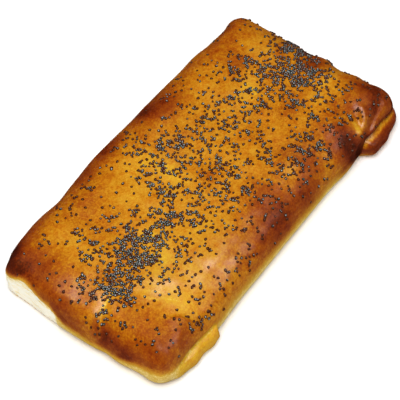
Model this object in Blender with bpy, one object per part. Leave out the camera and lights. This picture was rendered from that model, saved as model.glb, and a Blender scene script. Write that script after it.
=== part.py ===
"""Khachapuri: cheese baked in dough that is folded to a rectangular envelope, strewn with poppy seeds.

It is one solid. A soft crust pillow has a flap folded down over its -X -Y corner, and stands straight at
its -X +Y corner. Two lips of the lower dough show under the crust on the -Y side, the longer one under
the corner flap and the thicker one round the +X -Y corner. The seeds are fused to the top.
The frame has +X along the bread and +Z up, with its origin at the middle of the underside's box.
Lengths in this file are millimetres, and MM turns them to metres where points are set.
"""
import math
import random
from dataclasses import dataclass

import bmesh
import bpy
import numpy as np
from mathutils import Matrix, Vector, noise
from mathutils.bvhtree import BVHTree

MM = 0.001
NAME = "khachapuri"

# Driving dimensions of the crust, without its lips
LENGTH = 157.0
WIDTH = 81.0
HEIGHT = 19.0
CORNER = 10.0
SHOULDER = 16.0
WIDEST = 5.0
TUCK = 2.6
ROUNDNESS = 2.3
EDGE_FADE = 1.5

# Cells of the mesh along the length, the width and the wall, and rings that follow the edge
CELLS = (44, 24, 9)
RINGS = 5
FIRST_RING = 0.16
WAVES = ((13.0, 0.35), (6.0, 0.2))

SEED_LENGTH = 1.4
SEED_SHAPE = (1.0, 0.8, 0.75)
SEED_RISE = 0.14
SEED_COUNT = 180
SEED_GAP = 2.6
SEED_MARGIN_X = 12.0
SEED_MARGIN_Y = 8.0
STEEPEST_SEAT = 0.5
SEED_THIN = 0.05
SEED_THICK = 0.36
SEED_BAND_Y = -2.0
SEED_BAND_WIDTH = 24.0
RANDOM_SEED = 29


def smooth(low, high, value):
    """0 before low, 1 past high, and an S curve between."""
    t = np.clip((value - low) / (high - low), 0.0, 1.0)
    return t * t * (3.0 - 2.0 * t)


@dataclass(frozen=True)
class Oval:
    """A soft oval in plan: its middle, half length, half width, turn in degrees, and an amount."""

    x: float
    y: float
    length: float
    width: float
    turn: float
    amount: float

    def soft(self, x, y):
        """The amount at a place, fading out as a bell."""
        cos, sin = math.cos(math.radians(self.turn)), math.sin(math.radians(self.turn))
        dx, dy = x - self.x, y - self.y
        along, across = (dx * cos + dy * sin) / self.length, (dy * cos - dx * sin) / self.width
        return self.amount * np.exp(-(along**2) - across**2)


@dataclass(frozen=True)
class Crease:
    """A line in plan with a bell-shaped width, and a height at each of its ends, negative for a valley."""

    x0: float
    y0: float
    x1: float
    y1: float
    width: float
    rise0: float
    rise1: float

    def soft(self, x, y):
        """Height that it adds at a place."""
        dx, dy = self.x1 - self.x0, self.y1 - self.y0
        part = np.clip(((x - self.x0) * dx + (y - self.y0) * dy) / (dx * dx + dy * dy), 0.0, 1.0)
        away = np.hypot(x - self.x0 - part * dx, y - self.y0 - part * dy)
        return (self.rise0 + (self.rise1 - self.rise0) * part) * np.exp(-((away / self.width) ** 2))


@dataclass(frozen=True)
class Fold:
    """The edge of a flap: an arc of an oval that steps up, and fades inwards and to its ends."""

    x: float
    y: float
    length: float
    width: float
    facing: float
    spread: float
    rise: float
    edge: float
    fade: float

    def soft(self, x, y):
        """Height that it adds at a place."""
        dx, dy = (x - self.x) / self.length, (y - self.y) / self.width
        reach = np.hypot(dx, dy)
        turn = (np.degrees(np.arctan2(dy, dx)) - self.facing + 180.0) % 360.0 - 180.0
        inner = np.exp(-np.maximum(1.0 - reach, 0.0) / self.fade)
        step = smooth(1.0 + self.edge, 1.0 - self.edge, reach)
        return self.rise * np.exp(-((turn / self.spread) ** 2)) * inner * step


@dataclass(frozen=True)
class Push:
    """A stretch of the edge round a place, with how strongly something happens there."""

    x: float
    y: float
    reach: float
    out: float

    def soft(self, x, y):
        """Strength at a place, fading out as a bell."""
        return self.out * np.exp(-((x - self.x) ** 2 + (y - self.y) ** 2) / self.reach**2)


@dataclass(frozen=True)
class Lip:
    """Lower dough that bulges from under the crust, between two places along the -Y side."""

    start: float
    end: float
    start_ramp: float
    end_ramp: float
    out: float
    top: float
    fold: float
    round: float = 2.0
    droop: float = 0.0
    middle: float = 0.42
    belly: float = 1.4
    ripple: float = 0.0
    ripple_length: float = 9.0
    fold_above: float = 0.6
    fold_height: float = 1.1

    def span(self, along):
        """How fully the lip is there, from 0 to 1, at a place along the side."""
        begin, finish = self.start + self.start_ramp, self.end - self.end_ramp
        return smooth(self.start, begin, along) * smooth(self.end, finish, along)

    def push(self, along, height):
        """How far the lip moves the wall out at a place along the side and a height."""
        span = self.span(along)
        top = self.top * (1.0 - self.droop * (1.0 - span))
        middle = self.middle * top
        above, below = (height - middle) / (top - middle), (middle - height) / (self.belly * middle)
        up = np.where(height > middle, above, below)
        bulge = np.clip(1.0 - np.abs(up) ** self.round, 0.0, 1.0) ** (1.0 / self.round)
        fold = np.exp(-(((height - top - self.fold_above) / self.fold_height) ** 2))
        out = self.out + self.ripple * np.sin(along * math.tau / self.ripple_length)
        return span * (out * bulge - self.fold * fold)


SWELLS = (
    Oval(0, 0, 70, 30, 0, 1.0),
    Oval(-64, 14, 14, 12, 90, 0.8),
    Oval(-28, -26, 16, 8, 0, 0.9),
    Oval(20, -27, 15, 8, 0, 0.9),
    Oval(-48, -17, 8, 5, -40, 0.5),
    Oval(16, 31, 14, 6, 0, 0.9),
    Oval(-42, 31, 14, 6, 0, 0.5),
    Oval(62, 6, 9, 16, 0, 0.6),
    Oval(-16, 23, 12, 7, 10, -0.8),
    Oval(60, 26, 14, 7, 0, -0.5),
    Oval(66, -34, 8, 5.0, 20, 1.3),
    Oval(57.2, -36, 3.6, 1.8, 50, -2.4),
    Oval(47, -32, 5, 6, 0, 1.1),
    Oval(-54, -29, 6, 4.5, 0, -0.5),
)
CREASES = (
    Crease(-62, -5, -72, -7.5, 1.6, -0.1, -0.6),
    Crease(-72, -7.5, -80, -11, 2.4, -0.4, -1.9),
    Crease(-50, -41, -52, -34, 2.4, -1.6, -0.4),
    Crease(66, -29, 80, -26, 3.0, 0.0, -0.9),
    Crease(61.5, -34.5, 53, -40.5, 1.8, 1.0, 1.8),
    Crease(70.5, -37.5, 54, -41, 1.2, -1.0, -2.4),
)
FOLDS = (
    Fold(-66, -38, 12.4, 11.4, 32, 20, 1.6, 0.06, 0.5),
)
PUSHES = (
    Push(78.5, 40.5, 5, -0.8),
    Push(66, 40.5, 9, -3.0),
    Push(54.5, 40.5, 6, -1.2),
    Push(40, 40.5, 14, -1.0),
    Push(-14, 40.5, 14, 1.1),
    Push(-40, 40.5, 6, -0.6),
    Push(-53, 40.5, 7, 0.7),
    Push(-73, 40.5, 7, -1.9),
    Push(78.5, 12, 9, -0.3),
    Push(78.5, 0, 3, -1.2),
    Push(78.5, -6.5, 4, 1.1),
    Push(78.5, -16, 4, -0.6),
    Push(78.5, -23, 7, 1.5),
    Push(77, -38, 8, 3.3),
    Push(61, -40.5, 7, 2.1),
    Push(43, -40.5, 7, 0.9),
    Push(-44, -40.5, 8, 0.6),
    Push(-62, -40.5, 7, -0.5),
    Push(-78.5, -29, 7, -1.3),
    Push(-78.5, -13, 4, -0.6),
    Push(-78.5, 4, 12, 0.6),
    Push(-78.5, 26, 9, -0.7),
    Push(-78.5, 37, 4, 0.6),
)
LIPS = (
    Lip(-78, -45.8, 10, 1.6, 2.9, 7.4, 0.7, round=1.5, middle=0.3, belly=3.0, ripple=0.3),
    Lip(52, 88, 4.5, 26, 3.6, 8.4, 1.6, droop=0.45, ripple=0.25),
)
SEED_PATCHES = (
    Oval(-46, -4, 13, 6, 5, 0.60),
    Oval(60, 0, 10, 8, 0, 0.50),
    Oval(4, 17, 16, 6, 5, 0.18),
    Oval(-14, 1, 14, 8, 0, 0.16),
    Oval(24, -25, 18, 6, 0, 0.16),
)
BOXY_END = Push(-78, 22, 16, 2.2)
STRAIGHT_FOOT = Push(-80, 26, 18, 0.9)


def relief(x, y):
    """Height of all swells, creases and folds at a place in plan."""
    return sum(shape.soft(x, y) for shape in SWELLS + CREASES + FOLDS)


def ring_depth(ring):
    """Distance of a ring of the mesh from the widest line."""
    turn = FIRST_RING + (1.0 - FIRST_RING) * np.clip(ring / RINGS, 0.0, 1.0)
    return SHOULDER * (1.0 - np.cos(turn * math.pi / 2) ** (2.0 / ROUNDNESS))


def grid_place(index, cells, half):
    """Plan coordinate of a line of the mesh: rings at both edges, and even cells between them."""
    ring = np.minimum(index, cells - index)
    edge = np.where(ring == 0, 0.0, ring_depth(ring))
    even = (half - SHOULDER) * (2.0 * (index - RINGS) / (cells - 2 * RINGS) - 1.0)
    side = np.where(index * 2 < cells, -1.0, 1.0)
    return np.where(ring < RINGS, side * (half - edge), even)


def rim_frame(x, y):
    """The inner place that a place near the edge is measured from, and the way out from it, zero inside."""
    over_x = np.maximum(np.abs(x) - (LENGTH / 2 - CORNER), 0.0)
    over_y = np.maximum(np.abs(y) - (WIDTH / 2 - CORNER), 0.0)
    size = np.maximum(np.hypot(over_x, over_y), 1e-9)
    core_x, core_y = x - np.sign(x) * over_x, y - np.sign(y) * over_y
    return core_x, core_y, np.sign(x) * over_x / size, np.sign(y) * over_y / size


def shoulder_height(depth, power):
    """Height of the crust at a depth in from the widest line."""
    left = np.clip(1.0 - depth / SHOULDER, 0.0, 1.0)
    return WIDEST + (HEIGHT - WIDEST) * (1.0 - left**power) ** (1.0 / power)


def shoulder_depth(height, power, tuck):
    """Depth in from the widest line at a height on the wall, above it or below it."""
    up = np.clip((height - WIDEST) / (HEIGHT - WIDEST), 0.0, 1.0)
    down = np.clip(1.0 - height / WIDEST, 0.0, 1.0)
    above = SHOULDER * (1.0 - (1.0 - up**power) ** (1.0 / power))
    return above + tuck * (1.0 - np.sqrt(1.0 - down**2))


def crust_points(index):
    """Places of the mesh's points, from their whole-number places in a box of CELLS."""
    ix, iy, iz = index.T
    x = grid_place(ix, CELLS[0], LENGTH / 2)
    y = grid_place(iy, CELLS[1], WIDTH / 2)
    core_x, core_y, out_x, out_y = rim_frame(x, y)
    ring = np.minimum(np.minimum(ix, CELLS[0] - ix), np.minimum(iy, CELLS[1] - iy))
    power = ROUNDNESS + BOXY_END.soft(x, y)
    tuck = TUCK * (1.0 - STRAIGHT_FOOT.soft(x, y))

    wall = shoulder_height(ring_depth(0), power) * iz / CELLS[2]
    depth = np.where(ring == 0, shoulder_depth(wall, power, tuck), ring_depth(ring))
    depth = np.where((iz == 0) & (ring > 0), np.maximum(depth, tuck + TUCK * ring / RINGS), depth)
    height = np.where(ring == 0, wall, shoulder_height(depth, power))
    height = np.where(iz == 0, 0.0, height)

    rim_x, rim_y = core_x + out_x * CORNER, core_y + out_y * CORNER
    along = rim_x + np.copysign(rim_y + WIDTH / 2, rim_x)
    lips = sum(lip.push(along, height) for lip in LIPS) * (out_y < 0.5)
    moved = sum(push.soft(rim_x, rim_y) for push in PUSHES) + lips
    out = CORNER - depth + moved * np.clip(1.0 - (depth / CORNER) ** 2, 0.0, 1.0) ** EDGE_FADE
    px, py = core_x + out_x * out, core_y + out_y * out
    height = height + relief(px, py) * smooth(0.0, HEIGHT, height)
    points = np.stack([px, py, height], axis=1)
    for point in points:
        point[2] += waves(point) * min(point[2] / WIDEST, 1.0)
    return points


def waves(point):
    """Slow unevenness of baked dough at a point."""
    return sum(rise * noise.noise(Vector(point) / size) for size, rise in WAVES)


def make_crust():
    """The crust pillow: a box cut to cells, whose points are moved, over one flat underside."""
    bm = bmesh.new()
    bmesh.ops.create_cube(bm, size=1.0)
    for axis in range(3):
        edges = [e for e in bm.edges if abs((e.verts[0].co - e.verts[1].co)[axis]) > 1e-4]
        bmesh.ops.subdivide_edges(bm, edges=edges, cuts=CELLS[axis] - 1, use_grid_fill=True)
    index = [[round((v.co[axis] + 0.5) * CELLS[axis]) for axis in range(3)] for v in bm.verts]
    points = crust_points(np.array(index, dtype=float))
    points[:, :2] -= (points[:, :2].min(axis=0) + points[:, :2].max(axis=0)) / 2
    for vert, point in zip(bm.verts, points):
        vert.co = Vector(point) * MM
    under = {f for f in bm.faces if all(v.co.z < 1e-6 for v in f.verts)}
    inner = [e for e in bm.edges if all(f in under for f in e.link_faces)]
    bmesh.ops.dissolve_edges(bm, edges=inner, use_verts=True)
    bmesh.ops.triangulate(bm, faces=bm.faces)
    bmesh.ops.recalc_face_normals(bm, faces=bm.faces)
    return bm


def seed_density(x, y):
    """How thickly the seeds lie at a place, from 0 to 1."""
    across = (y - SEED_BAND_Y) / SEED_BAND_WIDTH
    inside_x = smooth(LENGTH / 2, LENGTH / 2 - SEED_MARGIN_X, np.abs(x))
    inside_y = smooth(WIDTH / 2, WIDTH / 2 - SEED_MARGIN_Y, np.abs(y))
    band = SEED_THIN + SEED_THICK * np.exp(-(across**2))
    extra = sum(patch.soft(x, y) for patch in SEED_PATCHES)
    return float(np.clip((band + extra) * inside_x * inside_y, 0.0, 1.0))


def seed_places(surface, draw):
    """Places and frames of the seeds that are large enough to be modelled, never closer than SEED_GAP."""
    places = []
    while len(places) < SEED_COUNT:
        x, y = draw.uniform(-LENGTH / 2, LENGTH / 2), draw.uniform(-WIDTH / 2, WIDTH / 2)
        if draw.random() > seed_density(x, y):
            continue
        hit, normal, _, _ = surface.ray_cast(Vector((x, y, 2 * HEIGHT)) * MM, Vector((0, 0, -1)))
        if hit is None or normal.z < STEEPEST_SEAT:
            continue
        if all((hit - old).length >= SEED_GAP * MM for old, _ in places):
            places.append((hit, normal))
    return places


def make_seed_mesh():
    """A poppy seed of few faces, along X, at its real size."""
    bm = bmesh.new()
    bmesh.ops.create_icosphere(bm, subdivisions=1, radius=SEED_LENGTH / 2 * MM)
    bmesh.ops.scale(bm, vec=Vector(SEED_SHAPE), verts=bm.verts)
    mesh = bpy.data.meshes.new("seed")
    bm.to_mesh(mesh)
    bm.free()
    return mesh


def add_seeds(crust, surface):
    """Fuse the seeds to the crust by one union, and take their objects away again."""
    draw = random.Random(RANDOM_SEED)
    seeds = bpy.data.collections.new("seeds")
    bpy.context.scene.collection.children.link(seeds)
    seed_mesh = make_seed_mesh()
    for hit, normal in seed_places(surface, draw):
        seed = bpy.data.objects.new("seed", seed_mesh)
        lie = normal.to_track_quat("Z", "X").to_matrix().to_4x4()
        turn = Matrix.Rotation(draw.uniform(0, math.tau), 4, "Z")
        seed.matrix_world = Matrix.Translation(hit + normal * SEED_LENGTH * SEED_RISE * MM) @ lie @ turn
        seed.hide_render = True
        seed.display_type = "WIRE"
        seeds.objects.link(seed)
    union = crust.modifiers.new("seeds", "BOOLEAN")
    union.operation = "UNION"
    union.operand_type = "COLLECTION"
    union.collection = seeds
    union.solver = "EXACT"
    evaluated = crust.evaluated_get(bpy.context.evaluated_depsgraph_get())
    crust.data = bpy.data.meshes.new_from_object(evaluated)
    crust.modifiers.clear()
    for seed in list(seeds.objects):
        bpy.data.objects.remove(seed)
    bpy.data.collections.remove(seeds)


def make_material():
    """Egg-washed crust, baked golden brown and glossy."""
    material = bpy.data.materials.new("baked_crust")
    material.use_nodes = True
    shader = material.node_tree.nodes["Principled BSDF"]
    shader.inputs["Base Color"].default_value = (0.60, 0.25, 0.03, 1.0)
    shader.inputs["Roughness"].default_value = 0.38
    shader.inputs["Metallic"].default_value = 0.0
    return material


for old in list(bpy.data.objects):
    bpy.data.objects.remove(old)
parts = bpy.data.collections.new(NAME)
bpy.context.scene.collection.children.link(parts)
crust_bm = make_crust()
crust_mesh = bpy.data.meshes.new(NAME)
crust_bm.to_mesh(crust_mesh)
crust = bpy.data.objects.new(NAME, crust_mesh)
parts.objects.link(crust)
add_seeds(crust, BVHTree.FromBMesh(crust_bm))
crust_bm.free()
crust.data.materials.clear()
crust.data.materials.append(make_material())
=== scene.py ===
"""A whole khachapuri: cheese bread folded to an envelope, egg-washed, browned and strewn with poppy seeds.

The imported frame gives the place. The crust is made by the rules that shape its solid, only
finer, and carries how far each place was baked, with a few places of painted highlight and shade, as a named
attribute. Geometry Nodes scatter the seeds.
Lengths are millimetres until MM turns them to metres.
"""
from __future__ import annotations

import logging
import math
from dataclasses import dataclass, field
from enum import Enum

import bmesh
import bpy
import numpy as np
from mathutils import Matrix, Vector, noise

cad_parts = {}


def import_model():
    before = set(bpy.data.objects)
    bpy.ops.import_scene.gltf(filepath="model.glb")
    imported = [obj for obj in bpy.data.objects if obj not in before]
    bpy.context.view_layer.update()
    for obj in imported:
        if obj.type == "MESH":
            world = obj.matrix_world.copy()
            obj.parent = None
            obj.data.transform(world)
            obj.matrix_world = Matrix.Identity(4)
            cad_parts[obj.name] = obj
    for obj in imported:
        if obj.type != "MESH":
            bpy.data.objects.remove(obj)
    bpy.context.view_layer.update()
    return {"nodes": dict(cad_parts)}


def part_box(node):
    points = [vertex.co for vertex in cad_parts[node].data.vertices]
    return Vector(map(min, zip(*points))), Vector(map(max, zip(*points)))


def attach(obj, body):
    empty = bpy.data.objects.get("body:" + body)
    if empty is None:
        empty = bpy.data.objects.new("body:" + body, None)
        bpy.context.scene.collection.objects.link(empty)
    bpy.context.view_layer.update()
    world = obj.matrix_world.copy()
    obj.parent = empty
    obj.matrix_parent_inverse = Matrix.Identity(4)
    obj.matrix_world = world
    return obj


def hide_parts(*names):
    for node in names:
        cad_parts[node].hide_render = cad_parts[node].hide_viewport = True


LOG = logging.getLogger("khachapuri")
MM = 0.001
NODE = "khachapuri"
CM2_PER_M2 = 1e4
# TINY keeps a length from being 0. A point lower than ON_GROUND, in metres, is on the ground.
TINY = 1e-9
ON_GROUND = 1e-6

Array = np.ndarray
Socket = bpy.types.NodeSocket
Tree = bpy.types.NodeTree


class Attribute(str, Enum):
    """Names of what the meshes carry at each point."""

    BAKE = "bake"
    RAW = "raw"
    GLAZE = "glaze"
    SEEDS = "seeds"
    TONE = "tone"
    GLINT_HEIGHT = "glint_height"


def smooth(low: float | Array, high: float | Array, value: Array) -> Array:
    """Soft step.

    Args:
        low: Where it begins.
        high: Where it ends; below low for a falling step.
        value: The places to read it at.

    Returns:
        0 before low, 1 past high and an S curve between.
    """
    t = np.clip((value - low) / (high - low), 0.0, 1.0)
    return t * t * (3.0 - 2.0 * t)


def linear(code: str) -> tuple[float, float, float, float]:
    """Turn an sRGB hex colour to linear.

    Args:
        code: Six hex digits.

    Returns:
        Linear red, green, blue and an alpha of 1.
    """
    parts = [int(code[i : i + 2], 16) / 255.0 for i in (0, 2, 4)]
    turned = [c / 12.92 if c <= 0.04045 else ((c + 0.055) / 1.055) ** 2.4 for c in parts]
    return (turned[0], turned[1], turned[2], 1.0)


def set_inputs(tree: Tree, node: bpy.types.Node, inputs: dict[str | int, object]) -> None:
    """Give a node its inputs.

    Args:
        tree: Its tree.
        node: The node.
        inputs: Input names or numbers, each with a value or the output that it is linked to.
    """
    for key, value in inputs.items():
        if isinstance(value, Socket):
            tree.links.new(value, node.inputs[key])
        else:
            node.inputs[key].default_value = value


def add_node(tree: Tree, kind: str, inputs: dict | None = None, **settings: object) -> bpy.types.Node:
    """Add one node to a tree.

    Args:
        tree: The tree.
        kind: The node's type name.
        inputs: Its inputs, as set_inputs takes them.
        **settings: The node's own properties.

    Returns:
        The node.
    """
    node = tree.nodes.new(kind)
    for name, value in settings.items():
        setattr(node, name, value)
    set_inputs(tree, node, inputs or {})
    return node


def new_material(name: str) -> tuple[bpy.types.Material, Tree, bpy.types.Node]:
    """Make a material with nodes.

    Args:
        name: Its name.

    Returns:
        The material, its tree and its shader.
    """
    material = bpy.data.materials.new(name)
    material.use_nodes = True
    return material, material.node_tree, material.node_tree.nodes["Principled BSDF"]


def set_stops(ramp: bpy.types.Node, stops: tuple[tuple[float, str], ...]) -> None:
    """Give a colour ramp its stops.

    Args:
        ramp: The ColorRamp node.
        stops: Places from 0 to 1, each with an sRGB hex colour.
    """
    elements = ramp.color_ramp.elements
    while len(elements) > 1:
        elements.remove(elements[-1])
    elements[0].position, elements[0].color = stops[0][0], linear(stops[0][1])
    for place, code in stops[1:]:
        elements.new(place).color = linear(code)


def direction(azimuth: float, elevation: float) -> Vector:
    """Unit vector from the bread towards a viewing angle, in degrees."""
    a, e = math.radians(azimuth), math.radians(elevation)
    return Vector((math.sin(a) * math.cos(e), -math.cos(a) * math.cos(e), math.sin(e)))


def baked(name: str, start: bpy.types.Mesh, tree: Tree, inputs: dict[str, object]) -> bpy.types.Mesh:
    """Run a Geometry Nodes tree on a mesh, and turn the result into a plain mesh.

    Args:
        name: Name of the object and the modifier that hold the tree for that.
        start: The mesh that it starts from.
        tree: The tree.
        inputs: Values of its inputs by their identifiers.

    Returns:
        The plain mesh.
    """
    holder = bpy.data.objects.new(name, start)
    bpy.context.scene.collection.objects.link(holder)
    modifier = holder.modifiers.new(name, "NODES")
    modifier.node_group = tree
    for identifier, value in inputs.items():
        modifier[identifier] = value
    evaluated = holder.evaluated_get(bpy.context.evaluated_depsgraph_get())
    mesh = bpy.data.meshes.new_from_object(evaluated)
    bpy.data.objects.remove(holder)
    return mesh


@dataclass(frozen=True)
class Step:
    """A soft step between two places or values, which falls where high is below low."""

    low: float
    high: float

    def at(self, value: Array, start: float | Array = 0.0) -> Array:
        """How far the step has gone at values, from 0 to 1, with low and high counted from start."""
        return smooth(start + self.low, start + self.high, value)


@dataclass(frozen=True)
class Oval:
    """A soft oval in plan: its middle, half length and half width, an amount, and its turn in degrees."""

    x: float
    y: float
    length: float
    width: float
    amount: float
    turn: float = 0.0

    def soft(self, x: Array, y: Array) -> Array:
        """The amount at places, fading out as a bell.

        Args:
            x: Places along the bread.
            y: Places across it.

        Returns:
            The amount at each place.
        """
        cos, sin = math.cos(math.radians(self.turn)), math.sin(math.radians(self.turn))
        dx, dy = x - self.x, y - self.y
        reach = np.hypot((dx * cos + dy * sin) / self.length, (dy * cos - dx * sin) / self.width)
        return self.amount * np.exp(-(reach**2))


@dataclass(frozen=True)
class Crease:
    """A line in plan with a bell-shaped width, and an amount at each of its ends."""

    x0: float
    y0: float
    x1: float
    y1: float
    width: float
    amount0: float
    amount1: float

    def soft(self, x: Array, y: Array) -> Array:
        """The amount at places in plan.

        Args:
            x: Places along the bread.
            y: Places across it.

        Returns:
            The amount at each place.
        """
        dx, dy = self.x1 - self.x0, self.y1 - self.y0
        part = np.clip(((x - self.x0) * dx + (y - self.y0) * dy) / (dx * dx + dy * dy), 0.0, 1.0)
        away = np.hypot(x - self.x0 - part * dx, y - self.y0 - part * dy)
        return (self.amount0 + (self.amount1 - self.amount0) * part) * np.exp(-((away / self.width) ** 2))


@dataclass(frozen=True)
class Fold:
    """The edge of a flap: an arc of an oval that steps up, and fades inwards and to its ends."""

    x: float
    y: float
    length: float
    width: float
    facing: float
    spread: float
    rise: float
    edge: float
    fade: float

    def soft(self, x: Array, y: Array) -> Array:
        """What the flap adds at places in plan.

        Args:
            x: Places along the bread.
            y: Places across it.

        Returns:
            The amount at each place.
        """
        dx, dy = (x - self.x) / self.length, (y - self.y) / self.width
        reach = np.hypot(dx, dy)
        turn = (np.degrees(np.arctan2(dy, dx)) - self.facing + 180.0) % 360.0 - 180.0
        window = np.exp(-((turn / self.spread) ** 2))
        inner = np.exp(-np.maximum(1.0 - reach, 0.0) / self.fade)
        return self.rise * window * inner * smooth(1.0 + self.edge, 1.0 - self.edge, reach)


@dataclass(frozen=True)
class Push:
    """A stretch of the outline that stands out, or is drawn in if out is negative."""

    x: float
    y: float
    reach: float
    out: float

    def soft(self, x: Array, y: Array) -> Array:
        """How far places on the outline are pushed."""
        return self.out * np.exp(-((x - self.x) ** 2 + (y - self.y) ** 2) / self.reach**2)


@dataclass(frozen=True)
class Lip:
    """Lower dough that bulges from under the crust, between two places along the -Y side."""

    start: float
    end: float
    start_ramp: float
    end_ramp: float
    out: float
    top: float
    fold: float
    round: float = 2.0
    droop: float = 0.0
    middle: float = 0.42
    belly: float = 1.4
    ripple: float = 0.0
    ripple_length: float = 9.0
    fold_above: float = 0.6
    fold_height: float = 1.1

    def span(self, along: Array) -> Array:
        """How fully the lip is there, from 0 to 1, at places along the side."""
        begin, finish = self.start + self.start_ramp, self.end - self.end_ramp
        return smooth(self.start, begin, along) * smooth(self.end, finish, along)

    def crest(self, along: Array) -> Array:
        """Height of the lip's top at places along the side."""
        return self.top * (1.0 - self.droop * (1.0 - self.span(along)))

    def push(self, along: Array, height: Array) -> Array:
        """How far the lip moves the wall out.

        Args:
            along: Places along the side.
            height: Heights on the wall there.

        Returns:
            The distance out, negative in the fold over the lip.
        """
        span, top = self.span(along), self.crest(along)
        middle = self.middle * top
        above, below = (height - middle) / (top - middle), (middle - height) / (self.belly * middle)
        up = np.where(height > middle, above, below)
        bulge = np.clip(1.0 - np.abs(up) ** self.round, 0.0, 1.0) ** (1.0 / self.round)
        fold = np.exp(-(((height - top - self.fold_above) / self.fold_height) ** 2))
        out = self.out + self.ripple * np.sin(along * math.tau / self.ripple_length)
        return span * (out * bulge - self.fold * fold)


@dataclass(frozen=True)
class Grid:
    """How finely the crust is cut: cells along, across and up its wall, and rings that follow its edge."""

    cells: tuple[int, int, int] = (300, 150, 26)
    rings: int = 30
    first_ring: float = 0.16


@dataclass(frozen=True)
class CrustForm:
    """The crust pillow's shape: its sizes in millimetres and the tables of its folds.

    The lips stay off the +Y side, where the way out has a y of lip_side or more. A wave is the size of
    its lumps and their rise.
    """

    length: float = 157.0
    width: float = 81.0
    height: float = 19.0
    corner: float = 10.0
    shoulder: float = 16.0
    widest: float = 5.0
    tuck: float = 2.6
    roundness: float = 2.3
    edge_fade: float = 1.5
    lip_side: float = 0.5
    boxy: Push = Push(-78, 22, 16, 2.2)
    straight: Push = Push(-80, 26, 18, 0.9)
    waves: tuple[tuple[float, float], ...] = ((13.0, 0.35), (6.0, 0.2))
    swells: tuple[Oval, ...] = (
        Oval(0, 0, 70, 30, 1.0), Oval(-64, 14, 14, 12, 0.8, 90), Oval(-28, -26, 16, 8, 0.9),
        Oval(20, -27, 15, 8, 0.9), Oval(-48, -17, 8, 5, 0.5, -40), Oval(16, 31, 14, 6, 0.9),
        Oval(-42, 31, 14, 6, 0.5), Oval(62, 6, 9, 16, 0.6), Oval(-16, 23, 12, 7, -0.8, 10),
        Oval(60, 26, 14, 7, -0.5), Oval(66, -34, 8, 5.0, 1.3, 20), Oval(57.2, -36, 3.6, 1.8, -2.4, 50),
        Oval(47, -32, 5, 6, 1.1), Oval(-54, -29, 6, 4.5, -0.5),
    )
    creases: tuple[Crease, ...] = (
        Crease(-62, -5, -72, -7.5, 1.6, -0.1, -0.6), Crease(-72, -7.5, -80, -11, 2.4, -0.4, -1.9),
        Crease(-50, -41, -52, -34, 2.4, -1.6, -0.4), Crease(66, -29, 80, -26, 3.0, 0.0, -0.9),
        Crease(61.5, -34.5, 53, -40.5, 1.8, 1.0, 1.8), Crease(70.5, -37.5, 54, -41, 1.2, -1.0, -2.4),
    )
    folds: tuple[Fold, ...] = (Fold(-66, -38, 12.4, 11.4, 32, 20, 1.6, 0.06, 0.5),)
    pushes: tuple[Push, ...] = (
        Push(78.5, 40.5, 5, -0.8), Push(66, 40.5, 9, -3.0), Push(54.5, 40.5, 6, -1.2),
        Push(40, 40.5, 14, -1.0), Push(-14, 40.5, 14, 1.1), Push(-40, 40.5, 6, -0.6),
        Push(-53, 40.5, 7, 0.7), Push(-73, 40.5, 7, -1.9), Push(78.5, 12, 9, -0.3),
        Push(78.5, 0, 3, -1.2), Push(78.5, -6.5, 4, 1.1), Push(78.5, -16, 4, -0.6),
        Push(78.5, -23, 7, 1.5), Push(77, -38, 8, 3.3), Push(61, -40.5, 7, 2.1), Push(43, -40.5, 7, 0.9),
        Push(-44, -40.5, 8, 0.6), Push(-62, -40.5, 7, -0.5), Push(-78.5, -29, 7, -1.3),
        Push(-78.5, -13, 4, -0.6), Push(-78.5, 4, 12, 0.6), Push(-78.5, 26, 9, -0.7),
        Push(-78.5, 37, 4, 0.6),
    )
    near_lip: Lip = Lip(-74, -45.8, 12, 1.6, 2.9, 7.4, 0.7, round=1.5, middle=0.3, belly=3.0, ripple=0.3)
    far_lip: Lip = Lip(52, 88, 4.5, 26, 3.6, 8.4, 1.6, droop=0.45, ripple=0.25)

    def ring_depth(self, ring: Array | int, grid: Grid) -> Array:
        """Distance of a ring of the mesh from the widest line."""
        turn = grid.first_ring + (1.0 - grid.first_ring) * np.clip(ring / grid.rings, 0.0, 1.0)
        return self.shoulder * (1.0 - np.cos(turn * math.pi / 2) ** (2.0 / self.roundness))

    def grid_place(self, index: Array, cells: int, half: float, grid: Grid) -> Array:
        """Plan coordinate of lines of the mesh: rings at both edges, and even cells between them.

        Args:
            index: The lines' numbers.
            cells: How many cells there are that way.
            half: Half the bread's size that way.
            grid: How finely the box is cut.

        Returns:
            Each line's coordinate.
        """
        ring = np.minimum(index, cells - index)
        edge = np.where(ring == 0, 0.0, self.ring_depth(ring, grid))
        even = (half - self.shoulder) * (2.0 * (index - grid.rings) / (cells - 2 * grid.rings) - 1.0)
        side = np.where(index * 2 < cells, -1.0, 1.0)
        return np.where(ring < grid.rings, side * (half - edge), even)

    def rim_frame(self, x: Array, y: Array) -> tuple[Array, Array, Array, Array]:
        """Where places near the edge are measured from.

        Args:
            x: Places along the bread.
            y: Places across it.

        Returns:
            The inner place's x and y, and the x and y of the way out, zero away from the edge.
        """
        over_x = np.maximum(np.abs(x) - (self.length / 2 - self.corner), 0.0)
        over_y = np.maximum(np.abs(y) - (self.width / 2 - self.corner), 0.0)
        size = np.maximum(np.hypot(over_x, over_y), TINY)
        out_x, out_y = np.sign(x) * over_x / size, np.sign(y) * over_y / size
        return x - np.sign(x) * over_x, y - np.sign(y) * over_y, out_x, out_y

    def shoulder_height(self, depth: Array, power: Array) -> Array:
        """Height of the crust at a depth in from the widest line."""
        left = np.clip(1.0 - depth / self.shoulder, 0.0, 1.0)
        return self.widest + (self.height - self.widest) * (1.0 - left**power) ** (1.0 / power)

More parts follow.
